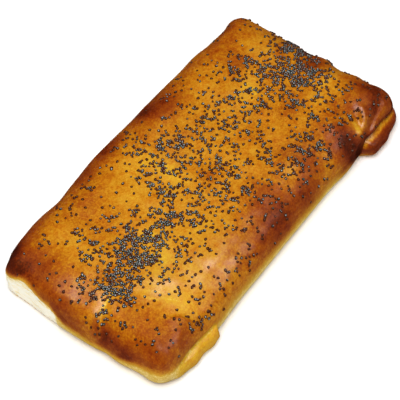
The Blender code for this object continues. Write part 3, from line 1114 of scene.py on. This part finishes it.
@dataclass
class Crust:
    """The bread's crust: one closed mesh with its bake, raw, glaze and seed attributes."""

    form: CrustForm = field(default_factory=CrustForm)
    plan: BakePlan = field(default_factory=BakePlan)
    seeds: SeedPlan = field(default_factory=SeedPlan)
    finish: CrustFinish = field(default_factory=CrustFinish)
    grid: Grid = field(default_factory=Grid)
    crumb_depth: float = 0.35
    crumb_lumps: tuple[tuple[float, float], ...] = ((2.4, 0.4), (0.9, 0.35))

    def box_of_cells(self) -> bpy.types.Mesh:
        """Make the box of cells by Geometry Nodes.

        Returns:
            Its mesh, a cube of side 1 around the origin.
        """
        tree = bpy.data.node_groups.new("box_of_cells", "GeometryNodeTree")
        tree.interface.new_socket("Geometry", in_out="INPUT", socket_type="NodeSocketGeometry")
        names = ("Lines along", "Lines across", "Lines up")
        sockets = [tree.interface.new_socket(n, in_out="INPUT", socket_type="NodeSocketInt") for n in names]
        tree.interface.new_socket("Geometry", in_out="OUTPUT", socket_type="NodeSocketGeometry")
        given = add_node(tree, "NodeGroupInput")
        counts = {f"Vertices {axis}": given.outputs[name] for axis, name in zip("XYZ", names)}
        cube = add_node(tree, "GeometryNodeMeshCube", {"Size": (1.0, 1.0, 1.0), **counts})
        add_node(tree, "NodeGroupOutput", {0: cube.outputs["Mesh"]})
        lines = {socket.identifier: cells + 1 for socket, cells in zip(sockets, self.grid.cells)}
        return baked("box_of_cells", bpy.data.meshes.new("box_of_cells"), tree, lines)

    def build(self) -> tuple[bpy.types.Object, Array]:
        """Shape and dress the crust.

        Returns:
            The crust's object, standing on the ground where its solid is, and how far the form's own middle
            was moved to get there.
        """
        mesh = self.box_of_cells()
        spots = np.empty(len(mesh.vertices) * 3, dtype=np.float32)
        mesh.vertices.foreach_get("co", spots)
        index = np.round((spots.reshape(-1, 3) + 0.5) * np.array(self.grid.cells)).astype(float)
        points, facts = self.form.points(index, self.grid)
        bake, raw = self.plan.levels(self.form, points, facts)
        points = points - self.crumb(points, raw)[:, None] * facts["out"]
        low, high = (np.array(corner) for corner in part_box(NODE))
        middle = (points.min(axis=0) + points.max(axis=0)) / 2
        shift = np.array([*((low + high)[:2] / 2 / MM - middle[:2]), 0.0])
        mesh.vertices.foreach_set("co", ((points + shift) * MM).astype(np.float32).ravel())
        carried = {
            Attribute.BAKE: bake,
            Attribute.RAW: raw,
            Attribute.GLAZE: self.plan.glaze(points, raw),
            Attribute.SEEDS: self.seeds.density(points, raw),
        }
        for name, values in carried.items():
            stored = mesh.attributes.new(name.value, "FLOAT", "POINT").data
            stored.foreach_set("value", values.astype(np.float32))
        self.close_underside(mesh)
        mesh.materials.clear()
        mesh.materials.append(self.finish.material())
        crust = bpy.data.objects.new("crust", mesh)
        bpy.context.scene.collection.objects.link(crust)
        LOG.info("crust: %d points, shift %s", len(mesh.vertices), shift.round(3))
        return crust, shift

    def crumb(self, points: Array, raw: Array) -> Array:
        """How deep the torn crumb lies behind the crust's edge.

        Args:
            points: Points of the crust.
            raw: How much each is torn crumb.

        Returns:
            The depth at each.
        """
        depth = np.zeros(len(points))
        for row in np.flatnonzero(raw > 0.0):
            spot = Vector(points[row])
            lumps = (rise * noise.noise(spot / size) for size, rise in self.crumb_lumps)
            depth[row] = sum(lumps, self.crumb_depth)
        return depth * raw

    def close_underside(self, mesh: bpy.types.Mesh) -> None:
        """Give the crust one flat face below, and smooth shading above it.

        Args:
            mesh: The crust's mesh, in metres.
        """
        bm = bmesh.new()
        bm.from_mesh(mesh)
        under = [f for f in bm.faces if all(v.co.z < ON_GROUND for v in f.verts)]
        bmesh.ops.delete(bm, geom=under, context="FACES")
        rim = [e for e in bm.edges if e.is_boundary]
        for edge in rim:
            edge.smooth = False
        bmesh.ops.holes_fill(bm, edges=rim, sides=0)
        bmesh.ops.recalc_face_normals(bm, faces=bm.faces)
        for face in bm.faces:
            face.smooth = len(face.verts) == 4
        bm.to_mesh(mesh)
        bm.free()


@dataclass
class PoppySeeds:
    """The seeds: small kidneys scattered on the crust by Geometry Nodes, in places on top of each other.

    Parts of a seed, how far it stands out and how high it is piled are shares of its length, and its tilt is
    in radians. Its tone, which its colours follow, is a random share plus a share of how thickly seeds lie.
    """

    length: float = 1.47
    width: float = 0.80
    height: float = 0.72
    bow: float = 0.55
    segments: int = 8
    rings: int = 5
    sizes: tuple[float, float] = (0.74, 1.10)
    tilt: float = 0.4
    gap: float = 0.68
    per_square_cm: float = 330.0
    stand: float = 0.10
    pile_from: float = 0.5
    pile_chance: float = 0.42
    pile_height: float = 0.5
    tone_spread: float = 0.7
    tone_thick: float = 0.4
    random_seed: int = 11
    tone_seed: int = 5
    pile_seed: int = 3
    finish: SeedFinish = field(default_factory=SeedFinish)

    def scatter_tree(self) -> tuple[Tree, dict[str, str]]:
        """Build the scatter.

        Returns:
            The tree, and its inputs' identifiers by name.
        """
        tree = bpy.data.node_groups.new("scatter_seeds", "GeometryNodeTree")
        tree.interface.new_socket("Geometry", in_out="INPUT", socket_type="NodeSocketGeometry")
        kinds = {
            "Seeds per square metre": "NodeSocketFloat",
            "Gap": "NodeSocketFloat",
            "Length": "NodeSocketFloat",
            "Stand": "NodeSocketFloat",
            "Pile from": "NodeSocketFloat",
            "Seed": "NodeSocketInt",
            "Hull": "NodeSocketMaterial",
        }
        names = {
            name: tree.interface.new_socket(name, in_out="INPUT", socket_type=kind).identifier
            for name, kind in kinds.items()
        }
        tree.interface.new_socket("Geometry", in_out="OUTPUT", socket_type="NodeSocketGeometry")
        given = add_node(tree, "NodeGroupInput").outputs
        read = {"Name": Attribute.SEEDS.value}
        thickness = add_node(tree, "GeometryNodeInputNamedAttribute", read, data_type="FLOAT")
        thick = thickness.outputs["Attribute"]
        where = {
            "Mesh": given["Geometry"],
            "Distance Min": given["Gap"],
            "Density Max": given["Seeds per square metre"],
            "Density Factor": thick,
            "Seed": given["Seed"],
        }
        points = add_node(tree, "GeometryNodeDistributePointsOnFaces", where, distribute_method="POISSON")
        turns = {0: (-self.tilt, -self.tilt, 0.0), 1: (self.tilt, self.tilt, math.tau), "Seed": given["Seed"]}
        turn = add_node(tree, "FunctionNodeRandomValue", turns, data_type="FLOAT_VECTOR")
        turned = {0: points.outputs["Rotation"], 1: turn.outputs[0]}
        lie = add_node(tree, "FunctionNodeRotateRotation", turned, rotation_space="LOCAL")
        sizes = {2: self.sizes[0], 3: self.sizes[1], "Seed": given["Seed"]}
        size = add_node(tree, "FunctionNodeRandomValue", sizes, data_type="FLOAT")
        lengths = {0: size.outputs[1], 1: given["Length"]}
        scale = add_node(tree, "ShaderNodeMath", lengths, operation="MULTIPLY")
        laid = {
            "Points": points.outputs["Points"],
            "Instance": self.kidney(tree),
            "Rotation": lie.outputs[0],
            "Scale": scale.outputs[0],
        }
        placed = add_node(tree, "GeometryNodeInstanceOnPoints", laid)
        lifts = {"Instances": placed.outputs[0], "Translation": self.lift(tree, given, thick)}
        lifted = add_node(tree, "GeometryNodeTranslateInstances", lifts)
        draws = {2: 0.0, 3: self.tone_spread, "Seed": self.tone_seed}
        chance = add_node(tree, "FunctionNodeRandomValue", draws, data_type="FLOAT")
        parts = {0: thick, 1: self.tone_thick, 2: chance.outputs[1]}
        tone = add_node(tree, "ShaderNodeMath", parts, operation="MULTIPLY_ADD")
        marks = {"Geometry": lifted.outputs[0], "Name": Attribute.TONE.value, "Value": tone.outputs[0]}
        marked = add_node(
            tree, "GeometryNodeStoreNamedAttribute", marks, data_type="FLOAT", domain="INSTANCE"
        )
        real = add_node(tree, "GeometryNodeRealizeInstances", {"Geometry": marked.outputs[0]})
        hull = {"Geometry": real.outputs[0], "Material": given["Hull"]}
        add_node(tree, "NodeGroupOutput", {0: add_node(tree, "GeometryNodeSetMaterial", hull).outputs[0]})
        return tree, names

    def lift(self, tree: Tree, given: bpy.types.bpy_prop_collection, thick: Socket) -> Socket:
        """How far a seed moves along its own up: a little, and half a seed more for some in thick places.

        Args:
            tree: The scatter's tree.
            given: The outputs of its inputs.
            thick: How thickly the seeds lie.

        Returns:
            The offset's socket.
        """
        full = add_node(tree, "ShaderNodeMath", {0: thick, 1: given["Pile from"]}, operation="GREATER_THAN")
        draws = {"Probability": self.pile_chance, "Seed": self.pile_seed}
        chosen = add_node(tree, "FunctionNodeRandomValue", draws, data_type="BOOLEAN")
        both = {0: full.outputs[0], 1: chosen.outputs[3]}
        piled = add_node(tree, "ShaderNodeMath", both, operation="MULTIPLY")
        parts = {0: piled.outputs[0], 1: self.pile_height, 2: given["Stand"]}
        share = add_node(tree, "ShaderNodeMath", parts, operation="MULTIPLY_ADD")
        up = add_node(tree, "ShaderNodeMath", {0: share.outputs[0], 1: given["Length"]}, operation="MULTIPLY")
        return add_node(tree, "ShaderNodeCombineXYZ", {"Z": up.outputs[0]}).outputs[0]

    def kidney(self, tree: Tree) -> Socket:
        """Squeeze and bend a ball of length 1 to a kidney along X, and mark how high each point is on it.

        Args:
            tree: The scatter's tree.

        Returns:
            The mesh's socket.
        """
        counts = {"Segments": self.segments, "Rings": self.rings, "Radius": 0.5}
        ball = add_node(tree, "GeometryNodeMeshUVSphere", counts).outputs["Mesh"]
        place = add_node(tree, "GeometryNodeInputPosition").outputs[0]
        parts = add_node(tree, "ShaderNodeSeparateXYZ", {0: place}).outputs
        x, y, z = (parts[axis] for axis in "XYZ")
        square = add_node(tree, "ShaderNodeMath", {0: x, 1: x}, operation="MULTIPLY")
        bend = add_node(tree, "ShaderNodeMath", {0: square.outputs[0], 1: self.bow}, operation="MULTIPLY")
        sides = {0: y, 1: self.width, 2: bend.outputs[0]}
        wide = add_node(tree, "ShaderNodeMath", sides, operation="MULTIPLY_ADD")
        tall = add_node(tree, "ShaderNodeMath", {0: z, 1: self.height}, operation="MULTIPLY")
        spot = add_node(tree, "ShaderNodeCombineXYZ", {"X": x, "Y": wide.outputs[0], "Z": tall.outputs[0]})
        moved = add_node(tree, "GeometryNodeSetPosition", {"Geometry": ball, "Position": spot.outputs[0]})
        soft = add_node(tree, "GeometryNodeSetShadeSmooth", {0: moved.outputs[0]})
        # How high each point is on the seed, by which the hull paints a highlight on the top and shade round
        # the foot.
        glint_height = add_node(tree, "ShaderNodeMath", {0: z, 1: 0.5})
        marks = {"Geometry": soft.outputs[0], "Name": Attribute.GLINT_HEIGHT.value, "Value": glint_height.outputs[0]}
        return add_node(
            tree, "GeometryNodeStoreNamedAttribute", marks, data_type="FLOAT", domain="POINT"
        ).outputs[0]

    def build(self, crust: bpy.types.Object) -> bpy.types.Object:
        """Scatter the seeds on the crust.

        Args:
            crust: The crust's object, with its seeds attribute.

        Returns:
            The seeds as one mesh object.
        """
        tree, names = self.scatter_tree()
        values = {
            "Seeds per square metre": self.per_square_cm * CM2_PER_M2,
            "Gap": self.gap * MM,
            "Length": self.length * MM,
            "Stand": self.stand,
            "Pile from": self.pile_from,
            "Seed": self.random_seed,
            "Hull": self.finish.material(),
        }
        inputs = {names[name]: value for name, value in values.items()}
        mesh = baked("seed_scatter", crust.data.copy(), tree, inputs)
        seeds = bpy.data.objects.new("poppy_seeds", mesh)
        bpy.context.scene.collection.objects.link(seeds)
        count = len(mesh.polygons) // (self.segments * self.rings)
        LOG.info("seeds: %d faces, about %d seeds", len(mesh.polygons), count)
        return seeds


@dataclass(frozen=True)
class Softbox:
    """A square area light: the way to it in degrees, its side and distance in metres, and its watts.

    One that isn't mirrored makes no glints, and one that doesn't light makes nothing else.
    """

    name: str
    azimuth: float
    elevation: float
    size: float
    power: float
    away: float = 0.9
    lights: bool = True
    mirrored: bool = True

    def build(self, aim: Vector) -> None:
        """Add the light, facing the bread.

        Args:
            aim: The point that it faces.
        """
        towards = direction(self.azimuth, self.elevation)
        lamp = bpy.data.lights.new(self.name, "AREA")
        lamp.size = self.size
        lamp.energy = self.power
        light = bpy.data.objects.new(self.name, lamp)
        light.location = aim + towards * self.away
        light.rotation_euler = (-towards).to_track_quat("-Z", "Y").to_euler()
        light.visible_diffuse = self.lights
        light.visible_glossy = self.mirrored
        bpy.context.scene.collection.objects.link(light)


@dataclass
class Studio:
    """A plain white table top, soft light from beside the camera, and the camera, aimed in millimetres."""

    azimuth: float = -54.0
    elevation: float = 57.0
    distance: float = 0.600
    lens: float = 139.1
    sensor: float = 36.0
    aim: tuple[float, float, float] = (-6.0, -4.0, 9.0)
    sky: float = 0.27
    softboxes: tuple[Softbox, ...] = (
        Softbox("key_softbox", -54.0, 84.0, 0.75, 9.4),
        Softbox("fill_softbox", -88.0, 28.0, 0.5, 1.1, mirrored=False),
        Softbox("side_softbox", 20.0, 43.0, 0.4, 1.6, lights=False),
    )
    table_half: float = 1.5
    finish: TableFinish = field(default_factory=TableFinish)

    def build(self, shift: Array) -> None:
        """Add the floor, the lights and the camera.

        Args:
            shift: How far the crust's form was moved, which the camera's aim follows.
        """
        scene = bpy.context.scene
        aim = (Vector(self.aim) + Vector(shift)) * MM
        lens = bpy.data.cameras.new("camera")
        lens.sensor_width = self.sensor
        lens.lens = self.lens
        camera = bpy.data.objects.new("camera", lens)
        towards = direction(self.azimuth, self.elevation)
        camera.location = aim + towards * self.distance
        camera.rotation_euler = (-towards).to_track_quat("-Z", "Y").to_euler()
        scene.collection.objects.link(camera)
        scene.camera = camera

        world = bpy.data.worlds.new("soft_room")
        world.use_nodes = True
        sky = world.node_tree.nodes["Background"]
        sky.inputs["Color"].default_value = (1.0, 1.0, 1.0, 1.0)
        sky.inputs["Strength"].default_value = self.sky
        # The egg wash mirrors the softboxes alone, as a thin coat in a dim room does.
        world.cycles_visibility.glossy = False
        scene.world = world
        scene.view_settings.view_transform = "Standard"
        for softbox in self.softboxes:
            softbox.build(aim)
        self.table()
        LOG.info("studio: %d softboxes, aim %s", len(self.softboxes), tuple(round(a, 4) for a in aim))

    def table(self) -> bpy.types.Object:
        """Add the table top, which the egg wash doesn't mirror.

        Returns:
            Its object.
        """
        mesh = bpy.data.meshes.new("table_top")
        bm = bmesh.new()
        bmesh.ops.create_grid(bm, x_segments=2, y_segments=2, size=self.table_half)
        bm.to_mesh(mesh)
        bm.free()
        mesh.materials.append(self.finish.material())
        table = bpy.data.objects.new("table_top", mesh)
        table.visible_glossy = False
        bpy.context.scene.collection.objects.link(table)
        return table


def main() -> None:
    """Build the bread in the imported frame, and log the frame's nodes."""
    logging.basicConfig(level=logging.INFO, format="%(name)s: %(message)s")
    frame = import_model()
    LOG.info("frame nodes: %s", sorted(frame["nodes"]))
    crust, shift = Crust().build()
    seeds = PoppySeeds().build(crust)
    for piece, slot in ((crust, "baked_crust"), (seeds, "poppy_seed")):
        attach(piece, "root")
    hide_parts(NODE)
    Studio().build(shift)


if __name__ == "__main__":
    main()
